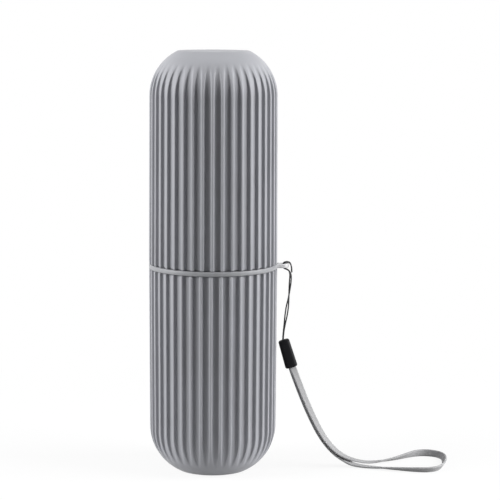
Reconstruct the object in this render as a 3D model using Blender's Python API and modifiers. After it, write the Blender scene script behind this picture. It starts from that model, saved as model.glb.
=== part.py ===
"""Travel tube for toothbrushes: two ribbed cups pushed onto a collar, with a divider inside and a lanyard.

Metres, +Z up. The origin is the middle of the flat base, and +X points to the collar's lug.
"""

import math

import bmesh
import bpy
from mathutils import Matrix, Vector

MM = 0.001

# Both cups
CREST_RADIUS = 31.0 * MM
LOWER_CUP_HEIGHT = 98.5 * MM
UPPER_CUP_HEIGHT = 101.9 * MM
DRAFT_SHARE = 0.0042
DOME_RADIUS = 24.0 * MM
DOME_HEIGHT = 21.6 * MM
WALL = 1.2 * MM
END_WALL = 2.0 * MM
MOUTH_ROUND = 0.3 * MM

# Ribs moulded on the outside of both cups
RIB_COUNT = 40
RIB_DEPTH = 1.5 * MM
CREST_WIDTH_SHARE = 0.29
FLOOR_WIDTH_SHARE = 0.55
RIB_FADE = math.radians(44.0)
RIB_FADE_POWER = 1.3
UPPER_CUP_TURN = math.radians(-0.7)
LOWER_CUP_TURN = math.radians(-2.0)

# Collar: the ring that shows at the seam, its lug, and the sleeve that both cups grip
RING_HEIGHT = 2.2 * MM
RING_ROUND = 0.4 * MM
SLEEVE_LENGTH = 15.0 * MM
SLEEVE_WALL = 1.5 * MM
SLEEVE_CLEARANCE = 0.35 * MM
SLEEVE_LEAD = 0.6 * MM
LUG_REACH = 5.6 * MM
LUG_WIDTH = 6.0 * MM
LUG_SHY = 0.1 * MM
LUG_HOLE_RADIUS = 1.7 * MM

# Divider: a dropped-in tube with a T of walls, which hangs from its rim on top of the sleeve
DIVIDER_DEPTH = 30.0 * MM
DIVIDER_WALL = 1.2 * MM
DIVIDER_CLEARANCE = 0.35 * MM
RIM_THICKNESS = 1.5 * MM
RIM_SHY = 0.1 * MM
PARTITION_DROP = 1.0 * MM

# Lanyard
STRING_DIAMETER = 0.7 * MM
STRAP_WIDTH = 3.5 * MM
STRAP_THICKNESS = 1.0 * MM
CLASP_TOP = Vector((34.3, 0.0, 63.3)) * MM
CLASP_TILT = math.radians(17.0)
CLASP_LENGTH = 14.1 * MM
CLASP_TOP_WIDTH = 5.4 * MM
CLASP_BOTTOM_WIDTH = 6.1 * MM
CLASP_TOP_DEPTH = 4.2 * MM
CLASP_BOTTOM_DEPTH = 5.0 * MM
CLASP_ROUND = 1.1 * MM

# Gap between faces that touch, and the overrun of a cut past the face that it leaves
GAP = 0.3 * MM
OVERRUN = 1.0 * MM
MERGE = 0.01 * MM

# Facets
POINTS_PER_RIB = 4
DOME_STEPS = 6
HOLLOW_TURN_STEPS = 64
HOLLOW_DOME_STEPS = 5
COLLAR_TURN_STEPS = 96
LUG_STEPS = 16
SPLINE_STEPS = 2

# Heights that the pieces share
RING_BOTTOM = LOWER_CUP_HEIGHT + GAP
RING_TOP = RING_BOTTOM + RING_HEIGHT
UPPER_MOUTH = RING_TOP + GAP
TUBE_HEIGHT = UPPER_MOUTH + UPPER_CUP_HEIGHT
SKIN = RIB_DEPTH + WALL
BORE_RADIUS = CREST_RADIUS - SKIN
SLEEVE_RADIUS = BORE_RADIUS - SLEEVE_CLEARANCE
SLEEVE_TOP = RING_TOP + SLEEVE_LENGTH
SLEEVE_BOTTOM = RING_BOTTOM - SLEEVE_LENGTH
SLEEVE_BORE = SLEEVE_RADIUS - SLEEVE_WALL
LUG_END_RADIUS = LUG_WIDTH / 2
LUG_CENTRE = CREST_RADIUS + LUG_REACH - LUG_END_RADIUS

# The string's free run, by hand, in millimetres: from the clasp up to the hitch, one strand and then the other
STRING_UP = [
    (34.00, 0.38, 63.6),
    (34.27, 0.38, 67.5),
    (34.66, 0.31, 71.5),
    (34.99, 0.12, 75.5),
    (35.54, -0.10, 79.5),
    (36.41, -0.36, 83.5),
    (37.15, -0.37, 87.5),
    (37.74, -0.02, 91.5),
    (37.80, 0.46, 95.1),
]
STRING_DOWN = [
    (37.18, -0.46, 95.1),
    (36.98, 0.02, 91.5),
    (36.87, 0.37, 87.5),
    (36.79, 0.36, 83.5),
    (36.58, 0.10, 79.5),
    (36.03, -0.12, 75.5),
    (35.20, -0.31, 71.5),
    (34.49, -0.38, 67.5),
    (34.20, -0.38, 63.6),
]
# Half of the hitch: under the lug, up its hole, over its end and down to the bight that crosses both strands
HITCH_HALF = [
    (36.75, 0.60, 97.25),
    (35.50, 0.60, 98.10),
    (34.30, 0.60, 98.65),
    (33.95, 0.60, 99.95),
    (34.20, 0.65, 101.15),
    (35.40, 0.95, 101.60),
    (37.00, 1.30, 101.25),
    (37.75, 1.50, 99.90),
    (37.98, 1.60, 98.50),
    (38.05, 1.15, 97.15),
]
HITCH_MIDDLE = (38.10, 0.0, 96.7)
# The strap by hand: place in millimetres and roll in degrees, from the clasp round the loop and back to it
STRAP_ROUTE = [
    (38.94, -0.68, 49.62, 168),
    (40.24, -0.63, 46.41, 154),
    (44.65, -0.55, 35.16, 142),
    (48.77, -0.53, 25.70, 139),
    (53.13, -0.49, 17.26, 134),
    (57.43, -0.42, 11.15, 127),
    (61.65, -0.33, 7.17, 118),
    (65.56, 0.05, 4.80, 108),
    (69.30, 1.15, 3.25, 102),
    (73.40, 3.15, 1.85, 96),
    (78.00, 5.60, 0.90, 87),
    (84.00, 7.60, 1.05, 74),
    (89.90, 10.50, 1.38, 55),
    (95.80, 15.00, 1.68, 34),
    (99.30, 17.90, 1.80, 18),
    (102.40, 19.90, 1.83, 5),
    (106.20, 20.90, 1.82, -8),
    (110.10, 20.10, 1.76, -20),
    (113.20, 17.50, 1.70, -28),
    (114.80, 13.80, 1.65, -32),
    (115.00, 9.20, 1.62, -34),
    (114.30, 3.20, 1.60, -34),
    (112.20, -4.40, 1.60, -34),
    (109.30, -9.60, 1.60, -34),
    (104.40, -12.10, 1.58, -37),
    (98.40, -11.50, 1.48, -44),
    (91.50, -9.30, 1.25, -58),
    (84.00, -6.30, 0.95, -74),
    (77.00, -3.80, 0.80, -88),
    (71.90, -2.05, 1.00, -94),
    (68.00, -0.90, 1.80, -101),
    (64.74, -0.05, 3.45, -109),
    (60.80, 0.33, 6.13, -118),
    (56.57, 0.42, 10.45, -127),
    (52.27, 0.49, 16.74, -134),
    (47.93, 0.53, 25.30, -139),
    (43.85, 0.55, 34.84, -142),
    (39.66, 0.63, 46.19, -154),
    (38.66, 0.68, 49.54, -168),
]


def clear_scene():
    for obj in list(bpy.data.objects):
        bpy.data.objects.remove(obj, do_unlink=True)


def new_collection(name):
    collection = bpy.data.collections.new(name)
    bpy.context.scene.collection.children.link(collection)
    return collection


def material(name, color, roughness):
    made = bpy.data.materials.new(name)
    made.use_nodes = True
    shader = made.node_tree.nodes["Principled BSDF"]
    shader.inputs["Base Color"].default_value = (*color, 1.0)
    shader.inputs["Roughness"].default_value = roughness
    shader.inputs["Metallic"].default_value = 0.0
    made.diffuse_color = (*color, 1.0)
    return made


def add_object(name, data, collection):
    obj = bpy.data.objects.new(name, data)
    collection.objects.link(obj)
    return obj


def realised(obj):
    """Replaces an object with the mesh that its modifiers or its curve make, welded and in the same place."""
    evaluated = obj.evaluated_get(bpy.context.evaluated_depsgraph_get())
    mesh = bpy.data.meshes.new_from_object(evaluated)
    name, matrix, collection = obj.name, obj.matrix_world.copy(), obj.users_collection[0]
    bpy.data.objects.remove(obj, do_unlink=True)
    shape = bmesh.new()
    shape.from_mesh(mesh)
    bmesh.ops.remove_doubles(shape, verts=shape.verts, dist=MERGE)
    shape.to_mesh(mesh)
    shape.free()
    made = add_object(name, mesh, collection)
    made.matrix_world = matrix
    return made


def turned(name, outline, steps, collection, closed=False):
    """Turns an outline of (radius, height) points about Z. It runs down the outer side."""
    mesh = bpy.data.meshes.new(name)
    edges = [(i, i + 1) for i in range(len(outline) - 1)]
    if closed:
        edges.append((len(outline) - 1, 0))
    mesh.from_pydata([(radius, 0.0, height) for radius, height in outline], edges, [])
    obj = add_object(name, mesh, collection)
    screw = obj.modifiers.new("turn", "SCREW")
    screw.axis = "Z"
    screw.steps = steps
    screw.render_steps = steps
    screw.use_merge_vertices = True
    screw.merge_threshold = MERGE
    bpy.context.view_layer.update()
    return realised(obj)


def boolean(obj, tool, operation):
    """Cuts or joins one mesh with another, which stays as a hidden cutter."""
    tool.hide_render = True
    tool.display_type = "WIRE"
    modifier = obj.modifiers.new(f"{operation.lower()} {tool.name}", "BOOLEAN")
    modifier.operation = operation
    modifier.object = tool
    modifier.solver = "EXACT"


def finish(obj, look):
    obj.data.materials.clear()
    obj.data.materials.append(look)
    obj.data.shade_smooth()
    obj.data.set_sharp_from_angle(angle=math.radians(30.0))


def dome_angles(steps, radius, rise):
    """Angles of a dome's arc, from its side to where the flat end cuts it."""
    last = math.asin(rise / radius)
    return [last * i / steps for i in range(steps + 1)]


def cup_outline(height):
    """The outside of a cup that stands on its flat end, without its ribs."""
    side = CREST_RADIUS - (height - DOME_HEIGHT) * DRAFT_SHARE
    centre = side - DOME_RADIUS
    outline = [(0.0, height), (CREST_RADIUS - MOUTH_ROUND, height), (CREST_RADIUS, height - MOUTH_ROUND)]
    for angle in dome_angles(DOME_STEPS, DOME_RADIUS, DOME_HEIGHT):
        outline.append((centre + DOME_RADIUS * math.cos(angle), DOME_HEIGHT - DOME_RADIUS * math.sin(angle)))
    outline[-1] = (outline[-1][0], 0.0)
    outline.append((0.0, 0.0))
    return outline


def hollow_outline(height):
    """The inside of a cup, which runs on past the mouth."""
    side = BORE_RADIUS - (height - DOME_HEIGHT) * DRAFT_SHARE
    arc = DOME_RADIUS - SKIN
    centre = side - arc
    outline = [(0.0, height + OVERRUN), (BORE_RADIUS, height + OVERRUN), (BORE_RADIUS, height)]
    for angle in dome_angles(HOLLOW_DOME_STEPS, arc, DOME_HEIGHT - END_WALL):
        outline.append((centre + arc * math.cos(angle), DOME_HEIGHT - arc * math.sin(angle)))
    outline[-1] = (outline[-1][0], END_WALL)
    outline.append((0.0, END_WALL))
    return outline


def press_ribs(obj):
    """Moves the points of a turned cup so that it has ribs, whose grooves fade out on the dome."""
    pitch = 2 * math.pi / RIB_COUNT
    step = pitch / POINTS_PER_RIB
    crest, floor = CREST_WIDTH_SHARE / 2, (1 - FLOOR_WIDTH_SHARE) / 2
    for point in obj.data.vertices:
        x, y, z = point.co
        radius = math.hypot(x, y)
        rise = max(0.0, DOME_HEIGHT - z)
        angle_up = math.asin(min(1.0, rise / DOME_RADIUS))
        fade = max(0.0, 1 - (angle_up / RIB_FADE) ** RIB_FADE_POWER)
        if radius < MERGE:
            continue
        slot = round(math.atan2(y, x) / step)
        rib, place = divmod(slot, POINTS_PER_RIB)
        even_share = (place + 0.5) / POINTS_PER_RIB
        rib_share = (crest, floor, 1 - floor, 1 - crest)[place]
        share = even_share + fade * (rib_share - even_share)
        angle = (rib + share) * pitch
        if 0 < place < POINTS_PER_RIB - 1:
            radius -= RIB_DEPTH * fade
        point.co = (radius * math.cos(angle), radius * math.sin(angle), z)


def cup(name, height, look, parts, cutters):
    """A ribbed cup that stands on its flat end, mouth up."""
    body = turned(name, cup_outline(height), RIB_COUNT * POINTS_PER_RIB, parts)
    press_ribs(body)
    hollow = turned(f"{name}_hollow", hollow_outline(height), HOLLOW_TURN_STEPS, cutters)
    hollow.parent = body
    boolean(body, hollow, "DIFFERENCE")
    finish(body, look)
    return body


def lug_outline():
    """The lug seen from above: a tab with a round end, rooted inside the ring."""
    root = (SLEEVE_RADIUS + SLEEVE_BORE) / 2
    outline = [(root, -LUG_END_RADIUS)]
    for i in range(LUG_STEPS + 1):
        angle = math.pi * (i / LUG_STEPS - 0.5)
        outline.append(
            (LUG_CENTRE + LUG_END_RADIUS * math.cos(angle), LUG_END_RADIUS * math.sin(angle))
        )
    outline.append((root, LUG_END_RADIUS))
    return outline


def plate(name, outline, thickness, collection):
    """A flat outline as a solid plate, with its middle at height zero."""
    curve = bpy.data.curves.new(name, "CURVE")
    curve.dimensions = "2D"
    curve.fill_mode = "BOTH"
    curve.extrude = thickness / 2
    spline = curve.splines.new("POLY")
    spline.points.add(len(outline) - 1)
    for point, (x, y) in zip(spline.points, outline):
        point.co = (x, y, 0.0, 1.0)
    spline.use_cyclic_u = True
    obj = add_object(name, curve, collection)
    bpy.context.view_layer.update()
    return realised(obj)


def rod(name, radius, height, steps, collection):
    mesh = bpy.data.meshes.new(name)
    shape = bmesh.new()
    bmesh.ops.create_cone(shape, cap_ends=True, segments=steps, radius1=radius, radius2=radius, depth=height)
    shape.to_mesh(mesh)
    shape.free()
    return add_object(name, mesh, collection)


def block(name, size, centre, collection):
    mesh = bpy.data.meshes.new(name)
    shape = bmesh.new()
    bmesh.ops.create_cube(shape, size=1.0, matrix=Matrix.Diagonal((*size, 1.0)))
    shape.to_mesh(mesh)
    shape.free()
    obj = add_object(name, mesh, collection)
    obj.location = centre
    return obj


def collar(look, parts, cutters):
    """Ring, sleeve and lug in one moulding. Its origin is on the tube's axis at the ring's middle."""
    middle = (RING_BOTTOM + RING_TOP) / 2
    half_ring = RING_HEIGHT / 2
    half_sleeve = half_ring + SLEEVE_LENGTH
    lead_radius = SLEEVE_RADIUS - SLEEVE_LEAD
    outline = [
        (SLEEVE_BORE, half_sleeve),
        (lead_radius, half_sleeve),
        (SLEEVE_RADIUS, half_sleeve - SLEEVE_LEAD),
        (SLEEVE_RADIUS, half_ring),
        (CREST_RADIUS - RING_ROUND, half_ring),
        (CREST_RADIUS, half_ring - RING_ROUND),
        (CREST_RADIUS, RING_ROUND - half_ring),
        (CREST_RADIUS - RING_ROUND, -half_ring),
        (SLEEVE_RADIUS, -half_ring),
        (SLEEVE_RADIUS, SLEEVE_LEAD - half_sleeve),
        (lead_radius, -half_sleeve),
        (SLEEVE_BORE, -half_sleeve),
    ]
    body = turned("collar", outline, COLLAR_TURN_STEPS, parts, closed=True)
    lug = plate("lug_blank", lug_outline(), RING_HEIGHT - 2 * LUG_SHY, cutters)
    hole = rod("lug_hole", LUG_HOLE_RADIUS, RING_HEIGHT + 2 * OVERRUN, LUG_STEPS, cutters)
    hole.location = (LUG_CENTRE, 0.0, 0.0)
    for tool, operation in ((lug, "UNION"), (hole, "DIFFERENCE")):
        tool.parent = body
        boolean(body, tool, operation)
    body.location = (0.0, 0.0, middle)
    finish(body, look)
    return body


def divider(look, parts, cutters):
    """Its origin is on the tube's axis, at the underside of the rim."""
    radius = SLEEVE_BORE - DIVIDER_CLEARANCE
    bore = radius - DIVIDER_WALL
    rim_radius = SLEEVE_RADIUS - RIM_SHY
    outline = [
        (bore, RIM_THICKNESS),
        (rim_radius, RIM_THICKNESS),
        (rim_radius, 0.0),
        (radius, 0.0),
        (radius, -DIVIDER_DEPTH),
        (bore, -DIVIDER_DEPTH),
    ]
    body = turned("divider", outline, HOLLOW_TURN_STEPS, parts, closed=True)
    reach = (radius + bore) / 2
    height = DIVIDER_DEPTH + RIM_THICKNESS - 2 * PARTITION_DROP
    middle = (RIM_THICKNESS - DIVIDER_DEPTH) / 2
    across = block("wall_across", (2 * reach, DIVIDER_WALL, height), (0.0, 0.0, middle), cutters)
    behind = block("wall_behind", (DIVIDER_WALL, reach, height), (0.0, reach / 2, middle), cutters)
    for wall in (across, behind):
        wall.parent = body
        boolean(body, wall, "UNION")
    body.location = (0.0, 0.0, SLEEVE_TOP + GAP)
    finish(body, look)
    return body


def clasp(look, parts):
    """A tapered block with round edges. Its origin is the middle of the face that the string enters."""
    mesh = bpy.data.meshes.new("lanyard_clasp")
    shape = bmesh.new()
    bmesh.ops.create_cube(shape, size=1.0)
    for point in shape.verts:
        at_top = point.co.z > 0
        width = CLASP_TOP_WIDTH if at_top else CLASP_BOTTOM_WIDTH
        depth = CLASP_TOP_DEPTH if at_top else CLASP_BOTTOM_DEPTH
        point.co = (point.co.x * width, point.co.y * depth, 0.0 if at_top else -CLASP_LENGTH)
    shape.to_mesh(mesh)
    shape.free()
    obj = add_object("lanyard_clasp", mesh, parts)
    obj.location = CLASP_TOP
    obj.rotation_euler = (0.0, -CLASP_TILT, 0.0)
    bevel = obj.modifiers.new("round edges", "BEVEL")
    bevel.width = CLASP_ROUND
    bevel.segments = 3
    finish(obj, look)
    return obj


def smooth(points, steps):
    """A smooth curve through hand-chosen points, as a list with the same values per point."""
    padded = [points[0], *points, points[-1]]
    curve = []
    for before, start, end, after in zip(padded, padded[1:], padded[2:], padded[3:]):
        for i in range(steps):
            t = i / steps
            curve.append(
                [
                    0.5 * (2 * b + (c - a) * t + (2 * a - 5 * b + 4 * c - d) * t**2 + (3 * b - a - 3 * c + d) * t**3)
                    for a, b, c, d in zip(before, start, end, after)
                ]
            )
    curve.append(list(points[-1]))
    return curve


def string_route():
    """The string as one run: up from the clasp, through the hitch on the lug, and down to the clasp."""
    mirrored = [(x, -y, z) for x, y, z in reversed(HITCH_HALF)]
    return [*STRING_UP, *HITCH_HALF, HITCH_MIDDLE, *mirrored, *STRING_DOWN]


def cord_curve(name, route, look, parts):
    """A free curve along a route of points in millimetres, each with a roll in degrees where it has one."""
    curve = bpy.data.curves.new(name, "CURVE")
    curve.dimensions = "3D"
    curve.twist_mode = "Z_UP"
    curve.use_fill_caps = True
    spline = curve.splines.new("POLY")
    spline.points.add(len(route) - 1)
    for point, (x, y, z, *roll) in zip(spline.points, route):
        point.co = (x * MM, y * MM, z * MM, 1.0)
        point.tilt = math.radians(roll[0]) if roll else 0.0
    obj = add_object(name, curve, parts)
    curve.materials.append(look)
    return obj


def string(look, parts):
    obj = cord_curve("lanyard_string", smooth(string_route(), SPLINE_STEPS), look, parts)
    obj.data.bevel_depth = STRING_DIAMETER / 2
    obj.data.bevel_resolution = 2
    return obj


def strap(look, parts):
    """A flat woven tape, bent into one loop. Its roll turns it from flat on the floor to standing on edge."""
    obj = cord_curve("lanyard_strap", smooth(STRAP_ROUTE, SPLINE_STEPS), look, parts)
    obj.data.bevel_depth = STRAP_THICKNESS / 2
    obj.data.extrude = (STRAP_WIDTH - STRAP_THICKNESS) / 2
    obj.data.bevel_resolution = 2
    return obj


def build():
    clear_scene()
    parts = new_collection("toothbrush_travel_tube")
    cutters = new_collection("cutters")
    grey = material("grey_plastic", (0.38, 0.38, 0.40), 0.45)
    pale = material("pale_plastic", (0.62, 0.62, 0.63), 0.40)
    black = material("black_plastic", (0.012, 0.012, 0.014), 0.45)
    black_cord = material("black_cord", (0.015, 0.015, 0.017), 0.60)
    grey_tape = material("grey_tape", (0.58, 0.58, 0.59), 0.80)

    lower = cup("lower_cup", LOWER_CUP_HEIGHT, grey, parts, cutters)
    lower.rotation_euler = (0.0, 0.0, LOWER_CUP_TURN)
    upper = cup("upper_cup", UPPER_CUP_HEIGHT, grey, parts, cutters)
    upper.location = (0.0, 0.0, TUBE_HEIGHT)
    upper.rotation_euler = (math.pi, 0.0, UPPER_CUP_TURN)
    collar(pale, parts, cutters)
    divider(pale, parts, cutters)
    clasp(black, parts)
    string(black_cord, parts)
    strap(grey_tape, parts)


build()
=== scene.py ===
"""The looks of the toothbrush travel tube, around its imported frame: cups, collar, divider and lanyard."""

import math

import bmesh
import bpy
from mathutils import Matrix, Vector


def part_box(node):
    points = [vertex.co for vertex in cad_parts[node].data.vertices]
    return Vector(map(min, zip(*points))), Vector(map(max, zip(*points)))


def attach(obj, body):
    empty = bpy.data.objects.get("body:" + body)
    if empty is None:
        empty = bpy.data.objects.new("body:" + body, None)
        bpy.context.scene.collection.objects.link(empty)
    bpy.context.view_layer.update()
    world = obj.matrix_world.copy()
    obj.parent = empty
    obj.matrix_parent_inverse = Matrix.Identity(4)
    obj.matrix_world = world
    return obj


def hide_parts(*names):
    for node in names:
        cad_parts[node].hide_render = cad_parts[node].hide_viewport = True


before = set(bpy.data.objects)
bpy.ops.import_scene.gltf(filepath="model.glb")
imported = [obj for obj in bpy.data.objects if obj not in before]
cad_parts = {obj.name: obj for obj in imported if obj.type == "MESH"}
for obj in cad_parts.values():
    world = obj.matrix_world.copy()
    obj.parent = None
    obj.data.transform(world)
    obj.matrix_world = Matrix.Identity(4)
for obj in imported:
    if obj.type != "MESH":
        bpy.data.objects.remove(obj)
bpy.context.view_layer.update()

MM = 0.001

# Sizes of the cups, as the frame has them
CREST_RADIUS = 31.0 * MM
DRAFT_SHARE = 0.0042
DOME_RADIUS = 24.0 * MM
DOME_HEIGHT = 21.6 * MM
WALL = 1.2 * MM
END_WALL = 2.0 * MM
END_ROUND = 1.2 * MM
MOUTH_ROUND = 0.5 * MM
MOUTH_REACH = 0.1 * MM

# Ribs
RIB_COUNT = 40
RIB_DEPTH = 1.5 * MM
RIB_FADE = math.radians(44.0)
RIB_FADE_POWER = 1.3
CREST_SHARE = 0.120
FLOOR_SHARE = 0.210
CREST_CROWN = 0.08 * MM
FADE_START_SHARE = 0.7
CLOSING_POWER = 3
CROWN_FADE = 4
HALF_RIB_SHARES = (0.06, 0.12, 0.145, 0.165, 0.185, 0.21, 0.31)
RIB_POINT_SHARES = (-0.5, *(-share for share in reversed(HALF_RIB_SHARES)), 0.0, *HALF_RIB_SHARES)
END_RING_SHARES = (0.3, 0.6, 0.85)
SIDE_RING_SHARES = (0.33, 0.66, 1.0)
UPPER_CUP_TURN = math.radians(-0.7)
LOWER_CUP_TURN = math.radians(-2.0)

# Collar
RING_HEIGHT = 2.2 * MM
RING_ROUND = 0.45 * MM
SLEEVE_LENGTH = 15.0 * MM
SLEEVE_WALL = 1.5 * MM
SLEEVE_CLEARANCE = 0.35 * MM
SLEEVE_LEAD = 0.6 * MM
SLEEVE_BORE_ROUND = 0.3 * MM
LUG_REACH = 5.6 * MM
LUG_WIDTH = 6.0 * MM
LUG_SHY = 0.1 * MM
LUG_ROUND = 0.45 * MM
LUG_FLARE = 1.6 * MM
LUG_FOOT_DEPTH = 0.4 * MM
LUG_HOLE_RADIUS = 1.7 * MM

# Divider
DIVIDER_DEPTH = 30.0 * MM
DIVIDER_WALL = 1.2 * MM
DIVIDER_CLEARANCE = 0.35 * MM
DIVIDER_ROUND = 0.4 * MM
RIM_THICKNESS = 1.5 * MM
RIM_SHY = 0.1 * MM
RIM_UNDER_ROUND = 0.2 * MM
PARTITION_ROUND_SHARE = 0.35
PARTITION_DROP = 1.0 * MM

# Lanyard
STRING_DIAMETER = 0.7 * MM
STRING_PLIES = 3
STRING_LAY = 5.2 * MM
STRING_GROOVE_SHARE = 0.2
STRAP_WIDTH = 3.5 * MM
STRAP_THICKNESS = 1.0 * MM
STRAP_FACE_SHARES = (0.6, 0.24, -0.24, -0.6)
STRAP_FACE_THICKNESS_SHARE = 0.86
WEFT_PITCH = 0.56 * MM
WARP_PITCH = 0.5 * MM
CLASP_TOP = Vector((34.3, 0.0, 63.3)) * MM
CLASP_TILT = math.radians(17.0)
CLASP_LENGTH = 14.1 * MM
CLASP_TOP_WIDTH = 5.4 * MM
CLASP_BOTTOM_WIDTH = 6.1 * MM
CLASP_TOP_DEPTH = 4.2 * MM
CLASP_BOTTOM_DEPTH = 5.0 * MM
CLASP_ROUND = 0.9 * MM
CLASP_SQUARENESS = 3.2
CLASP_RING_SHARES = (0.25, 0.5, 0.75)
POCKET_DEPTH = 0.9 * MM
POCKET_LIP = 0.1 * MM
TOP_POCKET = (1.9 * MM, 2.3 * MM)
BOTTOM_POCKET = (4.3 * MM, 3.3 * MM)
BOTTOM_POCKET_SHIFT = 0.25 * MM

# Routes of the string and the strap, in millimetres; the strap's also has its roll in degrees
STRING_UP = [
    (34.00, 0.38, 63.6),
    (34.27, 0.38, 67.5),
    (34.66, 0.31, 71.5),
    (34.99, 0.12, 75.5),
    (35.54, -0.10, 79.5),
    (36.41, -0.36, 83.5),
    (37.15, -0.37, 87.5),
    (37.74, -0.02, 91.5),
    (37.80, 0.46, 95.1),
]
STRING_DOWN = [
    (37.18, -0.46, 95.1),
    (36.98, 0.02, 91.5),
    (36.87, 0.37, 87.5),
    (36.79, 0.36, 83.5),
    (36.58, 0.10, 79.5),
    (36.03, -0.12, 75.5),
    (35.20, -0.31, 71.5),
    (34.49, -0.38, 67.5),
    (34.20, -0.38, 63.6),
]
HITCH_HALF = [
    (36.75, 0.60, 97.25),
    (35.50, 0.60, 98.10),
    (34.30, 0.60, 98.65),
    (33.95, 0.60, 99.95),
    (34.20, 0.65, 101.15),
    (35.40, 0.95, 101.60),
    (37.00, 1.30, 101.25),
    (37.75, 1.50, 99.90),
    (37.98, 1.60, 98.50),
    (38.05, 1.15, 97.15),
]
HITCH_MIDDLE = (38.10, 0.0, 96.7)
STRAP_ROUTE = [
    (38.94, -0.68, 49.62, 168),
    (40.24, -0.63, 46.41, 154),
    (44.65, -0.55, 35.16, 142),
    (48.77, -0.53, 25.70, 139),
    (53.13, -0.49, 17.26, 134),
    (57.43, -0.42, 11.15, 127),
    (61.65, -0.33, 7.17, 118),
    (65.56, 0.05, 4.80, 108),
    (69.30, 1.15, 3.25, 102),
    (73.40, 3.15, 1.85, 96),
    (78.00, 5.60, 0.90, 87),
    (84.00, 7.60, 1.05, 74),
    (89.90, 10.50, 1.38, 55),
    (95.80, 15.00, 1.68, 34),
    (99.30, 17.90, 1.80, 18),
    (102.40, 19.90, 1.83, 5),
    (106.20, 20.90, 1.82, -8),
    (110.10, 20.10, 1.76, -20),
    (113.20, 17.50, 1.70, -28),
    (114.80, 13.80, 1.65, -32),
    (115.00, 9.20, 1.62, -34),
    (114.30, 3.20, 1.60, -34),
    (112.20, -4.40, 1.60, -34),
    (109.30, -9.60, 1.60, -34),
    (104.40, -12.10, 1.58, -37),
    (98.40, -11.50, 1.48, -44),
    (91.50, -9.30, 1.25, -58),
    (84.00, -6.30, 0.95, -74),
    (77.00, -3.80, 0.80, -88),
    (71.90, -2.05, 1.00, -94),
    (68.00, -0.90, 1.80, -101),
    (64.74, -0.05, 3.45, -109),
    (60.80, 0.33, 6.13, -118),
    (56.57, 0.42, 10.45, -127),
    (52.27, 0.49, 16.74, -134),
    (47.93, 0.53, 25.30, -139),
    (43.85, 0.55, 34.84, -142),
    (39.66, 0.63, 46.19, -154),
    (38.66, 0.68, 49.54, -168),
]

# Camera, fitted to the photographed outline
CAMERA_DISTANCE = 0.900
CAMERA_HEIGHT = 0.2312
CAMERA_DOWN = math.radians(7.832)
CAMERA_TURN = math.radians(-1.133)
CAMERA_ROLL = math.radians(0.292)
FRAME_PIXELS = 500
FOCAL_PIXELS = 1879.7
SENSOR_WIDTH = 36.0
NEAREST_SEEN = 0.01
FARTHEST_SEEN = 100.0

# Studio
FLOOR_NEAR = 0.04
FLOOR_FAR = 0.20
FLOOR_NEAR_TONE = 0.50
FLOOR_FAR_TONE = 0.21
FLOOR_MIDDLE = (0.035, 0.0, 0.0)
WORLD_LIGHT = 0.05
SHADOW_SHARE = 0.12
SHADOW_NEAR = 0.10
SHADOW_FAR = 0.28
SHADOW_TONE = 0.95
FLOOR_HALF_WIDTH = 30.0
LIGHTS_AIM = (0.0, 0.0, 0.11)
SIDE_LIGHT_SIZE = (0.65, 0.8)
TOP_LIGHT_SIZE = (0.6, 0.5)
LEFT_LIGHT_PLACE = (-0.90, -0.20, 0.44)
RIGHT_LIGHT_PLACE = (0.90, -0.20, 0.44)
TOP_LIGHT_PLACE = (0.0, 0.10, 1.10)
LEFT_LIGHT_WATTS = 13.0
RIGHT_LIGHT_WATTS = 14.5
TOP_LIGHT_WATTS = 2.0

# Materials
PLASTIC_IOR = 1.49
GLOSS_SPREAD = 0.03
SUBSURFACE_RADIUS = 1.6 * MM
FINE_BUMP = 0.04 * MM
WEAVE_BUMP = 0.08 * MM
CHECKS_SHARE = 0.5
THREADS_SHARE = 0.4
# Where the weave's height goes from the tape's dark colour to its light one; the dark end is partly painted
# shade in the weave's low places
WEAVE_LOW = -0.4
WEAVE_HIGH = 0.8
# Of noise, only this middle range is spread over a colour or a gloss
NOISE_LOW = 0.3
NOISE_HIGH = 0.7

# Radii that follow from the sizes above
SKIN = RIB_DEPTH + WALL
BORE_RADIUS = CREST_RADIUS - SKIN
SLEEVE_RADIUS = BORE_RADIUS - SLEEVE_CLEARANCE
SLEEVE_BORE = SLEEVE_RADIUS - SLEEVE_WALL

# How finely the pieces are meshed
DOME_ROWS = 26
ROUND_ROWS = 4
INNER_DOME_ROWS = 14
ROUND_COLUMNS = 192
STRING_COLUMNS = 18
STRING_STEPS = 7
STRAP_STEPS = 8
CLASP_COLUMNS = 48
CLASP_ROUND_ROWS = 5
FLARE_STEPS = 6
LUG_END_STEPS = 24
HOLE_STEPS = 32
EDGE_STEPS = 6
BEVEL_STEPS = 3
SHARP_ANGLE = math.radians(50.0)
MERGE_DISTANCE = 0.002 * MM


def studio_camera():
    """A camera at the place, tilt and focal length that were fitted to the photographed outline."""
    data = bpy.data.cameras.new("camera")
    data.sensor_width = SENSOR_WIDTH
    data.lens = FOCAL_PIXELS / FRAME_PIXELS * SENSOR_WIDTH
    data.clip_start = NEAREST_SEEN
    data.clip_end = FARTHEST_SEEN
    camera = bpy.data.objects.new("camera", data)
    bpy.context.scene.collection.objects.link(camera)
    turn = Matrix.Rotation(CAMERA_TURN, 4, "Z")
    tilt = Matrix.Rotation(math.pi / 2 - CAMERA_DOWN, 4, "X")
    roll = Matrix.Rotation(CAMERA_ROLL, 4, "Z")
    camera.matrix_world = Matrix.Translation((0.0, -CAMERA_DISTANCE, CAMERA_HEIGHT)) @ turn @ tilt @ roll
    bpy.context.scene.camera = camera


def area_light(name, place, size, power):
    data = bpy.data.lights.new(name, "AREA")
    data.shape = "RECTANGLE"
    data.size, data.size_y = size
    data.energy = power
    light = bpy.data.objects.new(name, data)
    bpy.context.scene.collection.objects.link(light)
    light.location = place
    light.rotation_euler = (Vector(LIGHTS_AIM) - Vector(place)).to_track_quat("-Z", "Y").to_euler()


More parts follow.
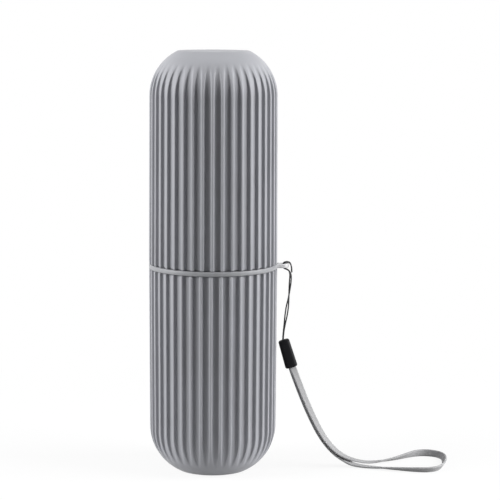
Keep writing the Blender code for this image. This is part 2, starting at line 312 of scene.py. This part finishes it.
class Nodes:
    """A short way to write a material's node tree."""

    def __init__(self, tree):
        self.tree = tree
        tree.nodes.clear()

    def add(self, kind, inputs=None, **settings):
        node = self.tree.nodes.new(kind)
        for name, value in settings.items():
            setattr(node, name, value)
        for name, value in (inputs or {}).items():
            socket = node.inputs[name]
            if isinstance(value, bpy.types.NodeSocket):
                self.tree.links.new(value, socket)
            else:
                socket.default_value = value
        return node

    def math(self, operation, first, second=0.0):
        return self.add("ShaderNodeMath", {0: first, 1: second}, operation=operation).outputs[0]

    def vector(self, operation, first, second=(0.0, 0.0, 0.0)):
        return self.add("ShaderNodeVectorMath", {0: first, 1: second}, operation=operation)

    def ramp(self, value, low, high, out_low, out_high):
        inputs = {"Value": value, "From Min": low, "From Max": high, "To Min": out_low, "To Max": out_high}
        return self.add("ShaderNodeMapRange", inputs).outputs["Result"]

    def mix(self, factor, first, second):
        node = self.add("ShaderNodeMix", {"Factor": factor}, data_type="RGBA")
        sockets = [socket for socket in node.inputs if socket.type == "RGBA"]
        for socket, color in zip(sockets, (first, second)):
            if isinstance(color, bpy.types.NodeSocket):
                self.tree.links.new(color, socket)
            else:
                socket.default_value = (*color, 1.0)
        return next(socket for socket in node.outputs if socket.type == "RGBA")

    def noise(self, place, scale, detail=3.0, roughness=0.5):
        inputs = {"Vector": place, "Scale": scale, "Detail": detail, "Roughness": roughness}
        return self.add("ShaderNodeTexNoise", inputs).outputs["Fac"]

    def seen_directly(self):
        """1 where the camera sees the surface itself, in a gloss or through something clear."""
        light = self.add("ShaderNodeLightPath")
        seen = self.math("ADD", light.outputs["Is Camera Ray"], light.outputs["Is Glossy Ray"])
        return self.math("MINIMUM", self.math("ADD", seen, light.outputs["Is Transmission Ray"]), 1.0)

    def bump(self, height, strength, distance):
        inputs = {"Height": height, "Strength": strength, "Distance": distance}
        return self.add("ShaderNodeBump", inputs).outputs["Normal"]


def new_material(name):
    material = bpy.data.materials.new(name)
    material.use_nodes = True
    return material, Nodes(material.node_tree)


def moulded_plastic(name, dark, light, roughness, specular, grain, subsurface, painted_lug_light=None):
    """Satin moulded plastic: faint clouds in the colour, uneven gloss and a fine spark-eroded grain.

    Where a light colour is given, it is painted light outside the crests' radius: the collar's lug is
    painted lighter, standing for light that comes through the lug's slim plate.
    """
    material, nodes = new_material(name)
    place = nodes.add("ShaderNodeTexCoord").outputs["Object"]
    clouds = nodes.noise(place, scale=45.0, detail=2.0)
    color = nodes.mix(nodes.ramp(clouds, NOISE_LOW, NOISE_HIGH, 0.0, 1.0), dark, light)
    # Painted light: the lug, outside the crests' radius, gets a lighter colour for the light that comes
    # through it
    if painted_lug_light:
        flat = nodes.vector("MULTIPLY", place, (1.0, 1.0, 0.0)).outputs["Vector"]
        out = nodes.vector("LENGTH", flat).outputs["Value"]
        color = nodes.mix(nodes.ramp(out, CREST_RADIUS, CREST_RADIUS + LUG_FLARE, 0.0, 1.0), color, painted_lug_light)
    blotches = nodes.noise(place, scale=260.0)
    gloss = nodes.ramp(blotches, NOISE_LOW, NOISE_HIGH, roughness - GLOSS_SPREAD, roughness + GLOSS_SPREAD)
    texture = nodes.noise(place, scale=3600.0, detail=2.0, roughness=0.6)
    shader = nodes.add(
        "ShaderNodeBsdfPrincipled",
        {
            "Base Color": color,
            "Roughness": gloss,
            "IOR": PLASTIC_IOR,
            "Specular IOR Level": specular,
            "Subsurface Weight": subsurface,
            "Subsurface Radius": [SUBSURFACE_RADIUS] * 3,
            "Subsurface Scale": 1.0,
            "Normal": nodes.bump(texture, strength=grain, distance=FINE_BUMP),
        },
    )
    nodes.add("ShaderNodeOutputMaterial", {"Surface": shader.outputs["BSDF"]})
    return material


def woven_tape(name, dark, light):
    """Plain weave, with painted shade in its low places: the tape's own map runs along it and across it in
    millimetres.
    """
    material, nodes = new_material(name)
    uv = nodes.add("ShaderNodeUVMap", uv_map="tape_uv").outputs["UV"]
    parts = nodes.add("ShaderNodeSeparateXYZ", {"Vector": uv})
    along, across = parts.outputs["X"], parts.outputs["Y"]
    weft = nodes.math("SINE", nodes.math("MULTIPLY", along, 2 * math.pi * MM / WEFT_PITCH))
    warp = nodes.math("SINE", nodes.math("MULTIPLY", across, 2 * math.pi * MM / WARP_PITCH))
    checks = nodes.math("MULTIPLY", weft, warp)
    threads = nodes.noise(uv, scale=9.0)
    relief = nodes.math("MULTIPLY", checks, CHECKS_SHARE)
    height = nodes.math("ADD", relief, nodes.math("MULTIPLY", threads, THREADS_SHARE))
    # Painted shade: the colour is darker where the weave's relief is low, and the threads' noise adds a
    # random tone
    color = nodes.mix(nodes.ramp(height, WEAVE_LOW, WEAVE_HIGH, 0.0, 1.0), dark, light)
    shader = nodes.add(
        "ShaderNodeBsdfPrincipled",
        {
            "Base Color": color,
            "Roughness": 0.75,
            "Sheen Weight": 0.25,
            "Sheen Roughness": 0.4,
            "Normal": nodes.bump(height, strength=0.6, distance=WEAVE_BUMP),
        },
    )
    nodes.add("ShaderNodeOutputMaterial", {"Surface": shader.outputs["BSDF"]})
    return material


def black_cord(name, dark, light):
    """Black fibres with a faint sheen."""
    material, nodes = new_material(name)
    place = nodes.add("ShaderNodeTexCoord").outputs["Object"]
    fibres = nodes.noise(place, scale=5200.0, roughness=0.6)
    shade = nodes.ramp(fibres, NOISE_LOW, NOISE_HIGH, 0.0, 1.0)
    color = nodes.mix(shade, dark, light)
    shader = nodes.add(
        "ShaderNodeBsdfPrincipled",
        {
            "Base Color": color,
            "Roughness": 0.42,
            "Sheen Weight": 0.3,
            "Sheen Roughness": 0.3,
            "Normal": nodes.bump(fibres, strength=0.3, distance=FINE_BUMP),
        },
    )
    nodes.add("ShaderNodeOutputMaterial", {"Surface": shader.outputs["BSDF"]})
    return material


def dress(obj, material):
    """Gives an object one material and smooth shading."""
    obj.data.materials.clear()
    obj.data.materials.append(material)
    obj.data.shade_smooth()


def add_object(name, data):
    obj = bpy.data.objects.new(name, data)
    bpy.context.scene.collection.objects.link(obj)
    return obj


def grid_mesh(name, rows, closed_rows=False):
    """A surface through rings of points. A ring of one point is a pole."""
    mesh = bpy.data.meshes.new(name)
    shape = bmesh.new()
    rings = [[shape.verts.new(point) for point in row] for row in rows]
    pairs = list(zip(rings, rings[1:]))
    if closed_rows:
        pairs.append((rings[-1], rings[0]))
    for first, second in pairs:
        count = max(len(first), len(second))
        for i in range(count):
            j = (i + 1) % count
            low = [first[i % len(first)], first[j % len(first)]]
            high = [second[j % len(second)], second[i % len(second)]]
            shape.faces.new(list(dict.fromkeys(low + high)))
    bmesh.ops.recalc_face_normals(shape, faces=shape.faces)
    shape.to_mesh(mesh)
    shape.free()
    return mesh


def ring_of(radius, height):
    turns = [2 * math.pi * i / ROUND_COLUMNS for i in range(ROUND_COLUMNS)]
    return [Vector((radius * math.cos(a), radius * math.sin(a), height)) for a in turns]


def smoothstep(value, low, high):
    t = min(1.0, max(0.0, (value - low) / (high - low)))
    return t * t * (3 - 2 * t)


def rib_cut(share, strength):
    """How far the outline lies inside the crests, at a share of the pitch from a crest's middle.

    The strength is 1 where the grooves have their full depth, and 0 where they have run out.
    """
    off = abs(share)
    closing = (1 - strength) ** CLOSING_POWER
    start = CREST_SHARE + (0.5 - CREST_SHARE) * closing * FADE_START_SHARE
    end = FLOOR_SHARE + (0.5 - FLOOR_SHARE) * closing
    crown = CREST_CROWN * min(1.0, off / CREST_SHARE) ** 2 * min(1.0, CROWN_FADE * strength)
    return RIB_DEPTH * strength * smoothstep(off, start, end) + crown


def rib_ring(radius, height, strength=0.0):
    """A ring with the ribs' outline, or a round one with points behind those of the ribs."""
    pitch = 2 * math.pi / RIB_COUNT
    ring = []
    for rib in range(RIB_COUNT):
        for share in RIB_POINT_SHARES:
            angle = (rib + share) * pitch
            reach = radius - rib_cut(share, strength)
            ring.append(Vector((reach * math.cos(angle), reach * math.sin(angle), height)))
    return ring


def cup_rows(height):
    """Rings of a cup that stands on its flat end: up the outside, over the mouth and down the inside."""
    side = CREST_RADIUS - (height - DOME_HEIGHT) * DRAFT_SHARE
    centre = side - DOME_RADIUS
    last = math.asin(DOME_HEIGHT / DOME_RADIUS)
    flat = centre + DOME_RADIUS * math.cos(last)
    rows = [[Vector((0.0, 0.0, 0.0))]]
    for share in END_RING_SHARES:
        rows.append(rib_ring(flat * share, 0.0))
    bend = math.pi / 2 - last
    trim = END_ROUND * math.tan(bend / 2)
    for i in range(ROUND_ROWS + 1):
        turn = bend * i / ROUND_ROWS
        out = flat - trim + END_ROUND * math.sin(turn)
        rows.append(rib_ring(out, END_ROUND * (1 - math.cos(turn))))
    start = last - trim / DOME_RADIUS
    for i in range(1, DOME_ROWS + 1):
        angle = start * (1 - i / DOME_ROWS)
        strength = max(0.0, 1 - (angle / RIB_FADE) ** RIB_FADE_POWER)
        out = centre + DOME_RADIUS * math.cos(angle)
        rows.append(rib_ring(out, DOME_HEIGHT - DOME_RADIUS * math.sin(angle), strength))
    top = height + MOUTH_REACH
    for share in SIDE_RING_SHARES:
        z = DOME_HEIGHT + (top - MOUTH_ROUND - DOME_HEIGHT) * share
        rows.append(rib_ring(side + (z - DOME_HEIGHT) * DRAFT_SHARE, z, 1.0))
    mouth = side + (top - DOME_HEIGHT) * DRAFT_SHARE
    for i in range(1, ROUND_ROWS + 1):
        turn = math.pi / 2 * i / ROUND_ROWS
        out = mouth - MOUTH_ROUND * (1 - math.cos(turn))
        rows.append(rib_ring(out, top - MOUTH_ROUND * (1 - math.sin(turn)), 1.0))
    for i in range(ROUND_ROWS + 1):
        turn = math.pi / 2 * i / ROUND_ROWS
        out = BORE_RADIUS + MOUTH_ROUND * (1 - math.sin(turn))
        rows.append(rib_ring(out, top - MOUTH_ROUND * (1 - math.cos(turn))))
    arc = DOME_RADIUS - SKIN
    inner_side = BORE_RADIUS - (height - DOME_HEIGHT) * DRAFT_SHARE
    inner_last = math.asin((DOME_HEIGHT - END_WALL) / arc)
    for i in range(INNER_DOME_ROWS + 1):
        angle = inner_last * i / INNER_DOME_ROWS
        out = inner_side - arc + arc * math.cos(angle)
        rows.append(rib_ring(out, DOME_HEIGHT - arc * math.sin(angle)))
    rows.append([Vector((0.0, 0.0, END_WALL))])
    return rows


def make_cup(name, node, body, material, place, turn, flip):
    """A cup whose flat end is at the place's height, turned about the tube and flipped mouth down or not."""
    low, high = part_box(node)
    mesh = grid_mesh(name, cup_rows(high.z - low.z))
    turned = Matrix.Rotation(turn, 4, "Z") @ Matrix.Rotation(flip, 4, "X")
    mesh.transform(Matrix.Translation((0.0, 0.0, place)) @ turned)
    cup = add_object(name, mesh)
    dress(cup, material)
    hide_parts(node)
    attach(cup, body)


def realised(obj):
    """Replaces an object with the mesh that its modifiers or its curve make."""
    bpy.context.view_layer.update()
    mesh = bpy.data.meshes.new_from_object(obj.evaluated_get(bpy.context.evaluated_depsgraph_get()))
    mesh.transform(obj.matrix_world)
    name = obj.name
    bpy.data.objects.remove(obj, do_unlink=True)
    shape = bmesh.new()
    shape.from_mesh(mesh)
    bmesh.ops.remove_doubles(shape, verts=shape.verts, dist=MERGE_DISTANCE)
    shape.to_mesh(mesh)
    shape.free()
    mesh.name = name
    return add_object(name, mesh)


def joined(obj, tools):
    """One mesh from the first and all the others, which are used up."""
    for tool in tools:
        modifier = obj.modifiers.new(tool.name, "BOOLEAN")
        modifier.operation = "UNION"
        modifier.object = tool
        modifier.solver = "EXACT"
    made = realised(obj)
    for tool in tools:
        bpy.data.objects.remove(tool, do_unlink=True)
    return made


def rounded_outline(corners):
    """Points of a closed outline of (radius, height, round) corners, each rounded by its own radius."""
    points = []
    count = len(corners)
    for i, (x, y, rounding) in enumerate(corners):
        corner = Vector((x, y))
        before = (Vector(corners[i - 1][:2]) - corner).normalized()
        after = (Vector(corners[(i + 1) % count][:2]) - corner).normalized()
        if rounding == 0.0:
            points.append(corner)
            continue
        half = before.angle(after) / 2
        start = corner + before * rounding / math.tan(half)
        end = corner + after * rounding / math.tan(half)
        middle = corner + (before + after).normalized() * rounding / math.sin(half)
        first, last = start - middle, end - middle
        for k in range(ROUND_ROWS + 1):
            t = k / ROUND_ROWS
            turned = Matrix.Rotation(first.angle_signed(last) * -t, 2) @ first
            points.append(middle + turned)
    return points


def make_collar(material):
    """Ring, sleeve and lug as one moulding, round the seam's middle."""
    low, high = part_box("collar")
    middle = (low.z + high.z) / 2
    half_ring = RING_HEIGHT / 2
    half_sleeve = half_ring + SLEEVE_LENGTH
    corners = [
        (SLEEVE_BORE, half_sleeve, SLEEVE_BORE_ROUND),
        (SLEEVE_RADIUS, half_sleeve, SLEEVE_LEAD),
        (SLEEVE_RADIUS, half_ring, 0.0),
        (CREST_RADIUS, half_ring, RING_ROUND),
        (CREST_RADIUS, -half_ring, RING_ROUND),
        (SLEEVE_RADIUS, -half_ring, 0.0),
        (SLEEVE_RADIUS, -half_sleeve, SLEEVE_LEAD),
        (SLEEVE_BORE, -half_sleeve, SLEEVE_BORE_ROUND),
    ]
    rows = [ring_of(x, y) for x, y in rounded_outline(corners)]
    ring = add_object("collar_moulding", grid_mesh("collar_moulding", rows, closed_rows=True))
    collar = joined(ring, [make_lug()])
    collar.data.transform(Matrix.Translation((0.0, 0.0, middle)))
    dress(collar, material)
    collar.data.set_sharp_from_angle(angle=SHARP_ANGLE)
    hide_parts("collar")
    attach(collar, "collar")


def make_lug():
    """The lug's plate with its hole, with soft edges and a flared root."""
    end_radius = LUG_WIDTH / 2
    centre = CREST_RADIUS + LUG_REACH - end_radius
    root = (SLEEVE_RADIUS + SLEEVE_BORE) / 2
    foot = CREST_RADIUS - LUG_FOOT_DEPTH
    outer = [(root, -end_radius - LUG_FLARE), (foot, -end_radius - LUG_FLARE)]
    for i in range(1, FLARE_STEPS + 1):
        swing = math.pi / 2 * i / FLARE_STEPS
        out = foot + LUG_FLARE * (1 - math.cos(swing))
        outer.append((out, -end_radius - LUG_FLARE * (1 - math.sin(swing))))
    near_side = list(outer)
    for i in range(LUG_END_STEPS + 1):
        swing = math.pi * (i / LUG_END_STEPS - 0.5)
        outer.append((centre + end_radius * math.cos(swing), end_radius * math.sin(swing)))
    outer += [(x, -y) for x, y in reversed(near_side)]
    turns = [2 * math.pi * i / HOLE_STEPS for i in range(HOLE_STEPS)]
    hole = [(centre + LUG_HOLE_RADIUS * math.cos(a), LUG_HOLE_RADIUS * math.sin(a)) for a in turns]
    curve = bpy.data.curves.new("lug", "CURVE")
    curve.dimensions = "2D"
    curve.fill_mode = "BOTH"
    curve.bevel_depth = LUG_ROUND
    curve.bevel_resolution = BEVEL_STEPS
    curve.offset = -LUG_ROUND
    curve.extrude = RING_HEIGHT / 2 - LUG_SHY - LUG_ROUND
    for outline in (outer, hole):
        spline = curve.splines.new("POLY")
        spline.points.add(len(outline) - 1)
        for point, (x, y) in zip(spline.points, outline):
            point.co = (x, y, 0.0, 1.0)
        spline.use_cyclic_u = True
    return realised(add_object("lug", curve))


def soft_block(name, size, centre, rounding):
    """A block with rounded edges."""
    mesh = bpy.data.meshes.new(name)
    shape = bmesh.new()
    bmesh.ops.create_cube(shape, size=1.0, matrix=Matrix.Translation(centre) @ Matrix.Diagonal((*size, 1.0)))
    shape.to_mesh(mesh)
    shape.free()
    block = add_object(name, mesh)
    bevel = block.modifiers.new("round edges", "BEVEL")
    bevel.width = rounding
    bevel.segments = BEVEL_STEPS
    return realised(block)


def make_divider(material):
    """A rimmed tube in the sleeve, parted into one wide and two narrow compartments."""
    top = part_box("divider")[1].z
    radius = SLEEVE_BORE - DIVIDER_CLEARANCE
    bore = radius - DIVIDER_WALL
    rim_radius = SLEEVE_RADIUS - RIM_SHY
    corners = [
        (bore, RIM_THICKNESS, DIVIDER_ROUND),
        (rim_radius, RIM_THICKNESS, DIVIDER_ROUND),
        (rim_radius, 0.0, RIM_UNDER_ROUND),
        (radius, 0.0, 0.0),
        (radius, -DIVIDER_DEPTH, DIVIDER_ROUND),
        (bore, -DIVIDER_DEPTH, DIVIDER_ROUND),
    ]
    rows = [ring_of(x, y) for x, y in rounded_outline(corners)]
    tube = add_object("divider_moulding", grid_mesh("divider_moulding", rows, closed_rows=True))
    reach = (radius + bore) / 2
    height = DIVIDER_DEPTH + RIM_THICKNESS - 2 * PARTITION_DROP
    middle = (RIM_THICKNESS - DIVIDER_DEPTH) / 2
    rounding = DIVIDER_WALL * PARTITION_ROUND_SHARE
    across = soft_block("across", (2 * reach, DIVIDER_WALL, height), (0.0, 0.0, middle), rounding)
    behind = soft_block("behind", (DIVIDER_WALL, reach, height), (0.0, reach / 2, middle), rounding)
    divider = joined(tube, [across, behind])
    divider.data.transform(Matrix.Translation((0.0, 0.0, top - RIM_THICKNESS)))
    dress(divider, material)
    divider.data.set_sharp_from_angle(angle=SHARP_ANGLE)
    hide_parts("divider")
    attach(divider, "divider")


def squircle(width, depth):
    """A rounded rectangle as one smooth ring."""
    ring = []
    for i in range(CLASP_COLUMNS):
        angle = 2 * math.pi * i / CLASP_COLUMNS
        c, s = math.cos(angle), math.sin(angle)
        total = abs(c) ** CLASP_SQUARENESS + abs(s) ** CLASP_SQUARENESS
        reach = total ** (-1 / CLASP_SQUARENESS)
        ring.append((c * reach * width / 2, s * reach * depth / 2))
    return ring


def make_clasp(material):
    """A tapered moulding with a recess at either end, where the string and the strap go in."""
    # Each ring: its distance down from the top, and how far it lies inside the taper
    outside = [(0.0, CLASP_ROUND)]
    for i in range(1, CLASP_ROUND_ROWS + 1):
        swing = math.pi / 2 * i / CLASP_ROUND_ROWS
        outside.append((CLASP_ROUND * (1 - math.cos(swing)), CLASP_ROUND * (1 - math.sin(swing))))
    outside += [(CLASP_LENGTH * share, 0.0) for share in CLASP_RING_SHARES]
    for i in range(CLASP_ROUND_ROWS + 1):
        swing = math.pi / 2 * i / CLASP_ROUND_ROWS
        down = CLASP_LENGTH - CLASP_ROUND * (1 - math.sin(swing))
        outside.append((down, CLASP_ROUND * (1 - math.cos(swing))))
    rows = [[Vector((0.0, 0.0, -POCKET_DEPTH))]]
    for depth, grow in ((POCKET_DEPTH, 0.0), (POCKET_LIP, POCKET_LIP)):
        ring = squircle(TOP_POCKET[0] + grow, TOP_POCKET[1] + grow)
        rows.append([Vector((x, y, -depth)) for x, y in ring])
    for down, inset in outside:
        share = down / CLASP_LENGTH
        width = CLASP_TOP_WIDTH + (CLASP_BOTTOM_WIDTH - CLASP_TOP_WIDTH) * share - 2 * inset
        depth = CLASP_TOP_DEPTH + (CLASP_BOTTOM_DEPTH - CLASP_TOP_DEPTH) * share - 2 * inset
        rows.append([Vector((x, y, -down)) for x, y in squircle(width, depth)])
    for depth, grow in ((POCKET_LIP, POCKET_LIP), (POCKET_DEPTH, 0.0)):
        ring = squircle(BOTTOM_POCKET[0] + grow, BOTTOM_POCKET[1] + grow)
        rows.append([Vector((x + BOTTOM_POCKET_SHIFT, y, depth - CLASP_LENGTH)) for x, y in ring])
    rows.append([Vector((BOTTOM_POCKET_SHIFT, 0.0, POCKET_DEPTH - CLASP_LENGTH))])
    mesh = grid_mesh("clasp_moulding", rows)
    mesh.transform(Matrix.Translation(CLASP_TOP) @ Matrix.Rotation(-CLASP_TILT, 4, "Y"))
    clasp = add_object("clasp_moulding", mesh)
    dress(clasp, material)
    clasp.data.set_sharp_from_angle(angle=SHARP_ANGLE)
    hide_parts("lanyard_clasp")
    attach(clasp, "collar")
    return clasp


def between(a, b, c, d, t):
    """The smooth curve through four values, at a share t of the way from the second to the third."""
    return 0.5 * (2 * b + (c - a) * t + (2 * a - 5 * b + 4 * c - d) * t**2 + (3 * b - a - 3 * c + d) * t**3)


def smooth(points, steps):
    """A smooth curve through given points, as a list with the same values per point."""
    padded = [points[0], *points, points[-1]]
    curve = []
    for before, start, end, after in zip(padded, padded[1:], padded[2:], padded[3:]):
        for i in range(steps):
            t = i / steps
            values = zip(before, start, end, after)
            curve.append([between(a, b, c, d, t) for a, b, c, d in values])
    curve.append(list(points[-1]))
    return curve


def tangents(points):
    """The direction of a route at each of its points."""
    ends = list(zip([points[0], *points], [*points[1:], points[-1]]))
    return [(Vector(b) - Vector(a)).normalized() for a, b in ends[: len(points)]]


def distances(points):
    """How far along a route each of its points is."""
    along = [0.0]
    for a, b in zip(points, points[1:]):
        along.append(along[-1] + (Vector(b) - Vector(a)).length)
    return along


def prolonged(points, reach):
    """The route with a straight stretch at either end, which goes into the clasp."""
    first = points[0] + (points[0] - points[1]).normalized() * reach
    last = points[-1] + (points[-1] - points[-2]).normalized() * reach
    return [first, *points, last]


def capped(name, rings):
    """A tube through rings of points, closed at both ends by its rings' middles."""
    ends = [sum(ring, Vector()) / len(ring) for ring in (rings[0], rings[-1])]
    return grid_mesh(name, [[ends[0]], *rings, [ends[1]]])


def make_string(material):
    """A slender three-ply cord, as one run from the clasp through the hitch on the lug and back."""
    mirrored = [(x, -y, z) for x, y, z in reversed(HITCH_HALF)]
    route = smooth([*STRING_UP, *HITCH_HALF, HITCH_MIDDLE, *mirrored, *STRING_DOWN], STRING_STEPS)
    points = prolonged([Vector(p) * MM for p in route], POCKET_DEPTH)
    along = distances(points)
    rings = []
    side = Vector((0.0, 1.0, 0.0))
    for point, tangent, run in zip(points, tangents(points), along):
        side = (side - tangent * side.dot(tangent)).normalized()
        other = tangent.cross(side)
        ring = []
        for i in range(STRING_COLUMNS):
            angle = 2 * math.pi * i / STRING_COLUMNS
            twisted = angle + 2 * math.pi * run / STRING_LAY
            lobe = abs(math.cos(STRING_PLIES / 2 * twisted))
            reach = STRING_DIAMETER / 2 * (1 - STRING_GROOVE_SHARE * (1 - lobe) ** 2)
            ring.append(point + (side * math.cos(angle) + other * math.sin(angle)) * reach)
        rings.append(ring)
    string = add_object("string", capped("string", rings))
    dress(string, material)
    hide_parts("lanyard_string")
    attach(string, "collar")


def tape_section():
    """The tape's section: (across its width, across its thickness), with rounded, slightly thicker edges."""
    half_width, half_thick = STRAP_WIDTH / 2, STRAP_THICKNESS / 2
    section = []
    flat = half_width - half_thick
    for side in (1, -1):
        for i in range(EDGE_STEPS + 1):
            swing = math.pi * (i / EDGE_STEPS - 0.5)
            out = flat + half_thick * math.cos(swing)
            section.append((side * out, side * half_thick * math.sin(swing)))
        for share in STRAP_FACE_SHARES:
            section.append((side * flat * share, side * half_thick * STRAP_FACE_THICKNESS_SHARE))
    return section


def make_strap(material):
    """A flat woven tape bent into one loop, which rolls from flat on the floor to standing on edge."""
    route = smooth(STRAP_ROUTE, STRAP_STEPS)
    points = prolonged([Vector(p[:3]) * MM for p in route], POCKET_DEPTH)
    rolls = [math.radians(p[3]) for p in (route[0], *route, route[-1])]
    along = distances(points)
    section = tape_section()
    rings = []
    for point, tangent, roll in zip(points, tangents(points), rolls):
        level = tangent.cross(Vector((0.0, 0.0, 1.0))).normalized()
        up = level.cross(tangent)
        wide = up * math.cos(roll) + level * math.sin(roll)
        thick = level * math.cos(roll) - up * math.sin(roll)
        rings.append([point + wide * w + thick * t for w, t in section])
    mesh = capped("strap", rings)
    strap = add_object("strap", mesh)
    dress(strap, material)
    map_tape(mesh, points, along, rings)
    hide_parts("lanyard_strap")
    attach(strap, "collar")


def map_tape(mesh, points, along, rings):
    """Gives the tape a map in millimetres: the run along it, and the distance round its section."""
    round_it = distances([*rings[0], rings[0][0]])
    columns = len(rings[0])
    layer = mesh.uv_layers.new(name="tape_uv")
    for face in mesh.polygons:
        places = [mesh.loops[i].vertex_index for i in face.loop_indices]
        inner = [(p - 1) for p in places if 0 < p <= columns * len(points)]
        wraps = {q % columns for q in inner} >= {0, columns - 1}
        for loop, place in zip(face.loop_indices, places):
            ring, column = divmod(place - 1, columns)
            if not 0 < place <= columns * len(points):
                ring, column = (0 if place == 0 else len(points) - 1), 0
            if wraps and column == 0:
                column = columns
            layer.data[loop].uv = (along[ring] / MM, round_it[column] / MM)


def make_floor():
    """A pale floor that the camera sees as white, with the object's soft shadow on it."""
    mesh = bpy.data.meshes.new("floor")
    shape = bmesh.new()
    bmesh.ops.create_grid(shape, x_segments=1, y_segments=1, size=FLOOR_HALF_WIDTH)
    shape.to_mesh(mesh)
    shape.free()
    floor = add_object("floor", mesh)
    material, nodes = new_material("floor_white")
    seen = nodes.seen_directly()
    place = nodes.add("ShaderNodeTexCoord").outputs["Object"]
    away = nodes.vector("DISTANCE", place, FLOOR_MIDDLE).outputs["Value"]
    shadow = nodes.ramp(away, SHADOW_NEAR, SHADOW_FAR, SHADOW_SHARE, 0.0)
    tone = nodes.ramp(away, FLOOR_NEAR, FLOOR_FAR, FLOOR_NEAR_TONE, FLOOR_FAR_TONE)
    matt = nodes.add("ShaderNodeBsdfDiffuse", {"Color": tone})
    shaded = nodes.add("ShaderNodeBsdfDiffuse", {"Color": (SHADOW_TONE, SHADOW_TONE, SHADOW_TONE, 1.0)})
    white = nodes.add("ShaderNodeEmission", {"Color": (1.0, 1.0, 1.0, 1.0), "Strength": 1.0})
    backdrop = nodes.add("ShaderNodeMixShader", {"Fac": shadow, 1: white.outputs[0], 2: shaded.outputs[0]})
    surface = nodes.add("ShaderNodeMixShader", {"Fac": seen, 1: matt.outputs[0], 2: backdrop.outputs[0]})
    nodes.add("ShaderNodeOutputMaterial", {"Surface": surface.outputs[0]})
    floor.data.materials.append(material)


def make_world():
    """White where it is seen, and a faint fill light otherwise."""
    world = bpy.data.worlds.new("studio")
    bpy.context.scene.world = world
    world.use_nodes = True
    nodes = Nodes(world.node_tree)
    seen = nodes.seen_directly()
    strength = nodes.ramp(seen, 0.0, 1.0, WORLD_LIGHT, 1.0)
    shader = nodes.add("ShaderNodeBackground", {"Color": (1.0, 1.0, 1.0, 1.0), "Strength": strength})
    nodes.add("ShaderNodeOutputWorld", {"Surface": shader.outputs[0]})


def make_lights():
    """Two big lamps at the sides, which leave the grooves dark, and a weak one above for the domes."""
    area_light("left_softbox", LEFT_LIGHT_PLACE, SIDE_LIGHT_SIZE, LEFT_LIGHT_WATTS)
    area_light("right_softbox", RIGHT_LIGHT_PLACE, SIDE_LIGHT_SIZE, RIGHT_LIGHT_WATTS)
    area_light("top_softbox", TOP_LIGHT_PLACE, TOP_LIGHT_SIZE, TOP_LIGHT_WATTS)


def build():
    studio_camera()
    cup_plastic = moulded_plastic(
        "cup_plastic",
        dark=(0.365, 0.37, 0.395),
        light=(0.385, 0.39, 0.418),
        roughness=0.44,
        specular=0.2,
        grain=0.10,
        subsurface=0.05,
    )
    collar_plastic = moulded_plastic(
        "collar_plastic",
        dark=(0.30, 0.305, 0.32),
        light=(0.32, 0.325, 0.34),
        roughness=0.40,
        specular=0.4,
        grain=0.08,
        subsurface=0.25,
        # Painted light: the lug's lighter colour stands for light that comes through it
        painted_lug_light=(0.72, 0.72, 0.73),
    )
    divider_plastic = moulded_plastic(
        "divider_plastic",
        dark=(0.60, 0.60, 0.61),
        light=(0.64, 0.64, 0.65),
        roughness=0.42,
        specular=0.5,
        grain=0.08,
        subsurface=0.10,
    )
    clasp_plastic = moulded_plastic(
        "clasp_plastic",
        dark=(0.004, 0.004, 0.005),
        light=(0.008, 0.008, 0.010),
        roughness=0.46,
        specular=0.12,
        grain=0.5,
        subsurface=0.0,
    )
    clasp = make_clasp(clasp_plastic)
    make_string(black_cord("string_cord", dark=(0.006, 0.006, 0.007), light=(0.03, 0.03, 0.034)))
    # The tape's dark colour is partly painted shade in the weave's low places
    make_strap(woven_tape("strap_tape", dark=(0.30, 0.30, 0.305), light=(0.46, 0.46, 0.47)))
    tube_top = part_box("upper_cup")[1].z
    make_cup("lower_cup_shell", "lower_cup", "base", cup_plastic, place=0.0, turn=LOWER_CUP_TURN, flip=0.0)
    make_cup(
        "upper_cup_shell",
        "upper_cup",
        "cover",
        cup_plastic,
        place=tube_top,
        turn=UPPER_CUP_TURN,
        flip=math.pi,
    )
    make_collar(collar_plastic)
    make_divider(divider_plastic)
    make_floor()
    make_world()
    make_lights()
    bpy.context.scene.view_settings.view_transform = "Standard"


build()
